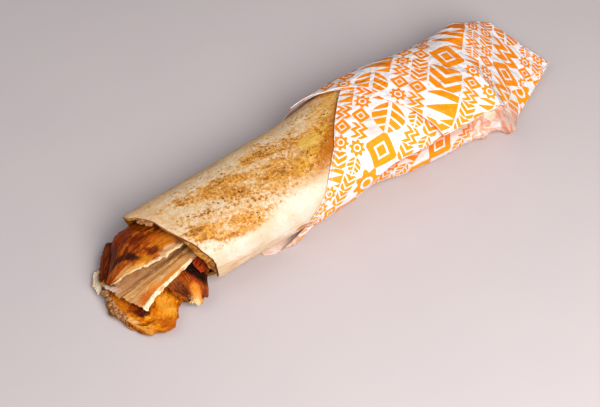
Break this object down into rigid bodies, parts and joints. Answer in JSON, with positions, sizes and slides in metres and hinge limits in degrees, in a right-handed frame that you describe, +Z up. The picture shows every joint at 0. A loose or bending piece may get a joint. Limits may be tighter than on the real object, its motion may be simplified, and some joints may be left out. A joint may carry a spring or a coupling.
{
  "type": "chicken shawarma wrap",
  "caption": "Chicken shawarma wrap: a rolled, toasted flatbread with slices of chicken fanning out of its open end, half of it in a printed paper sleeve that is folded flat at the end.",
  "frame": {"origin": "middle of the wrap's footprint, on the surface it lies on", "axes": "+X along the roll from the open end with the chicken to the folded end of the paper, +Y to the far side, +Z up"},
  "size_m": [0.2887, 0.0679, 0.0454],
  "materials": {
    "flatbread": "matte, floury at the sides and toasted orange brown on top",
    "chicken_filling": "moist roast chicken, packed",
    "greaseproof_paper": "thin warm white greaseproof paper with an orange print",
    "glazed_chicken": "glossy dark glaze with charred streaks",
    "crisp_chicken": "crisp yellow orange skin, oily",
    "pale_chicken": "pale moist meat with long fibres"
  },
  "bodies": {
    "root": {"flatbread": "flatbread", "chicken_filling": "chicken_filling", "paper_wrapper": "greaseproof_paper", "chicken_bottom_slice": "crisp_chicken", "chicken_end_piece": "pale_chicken", "chicken_far_slice": "glazed_chicken", "chicken_side_slice": "glazed_chicken", "chicken_inner_slice": "glazed_chicken", "chicken_pale_slice_lower": "pale_chicken", "chicken_pale_slice_upper": "pale_chicken", "chicken_top_slice": "glazed_chicken"}
  },
  "joints": []
}
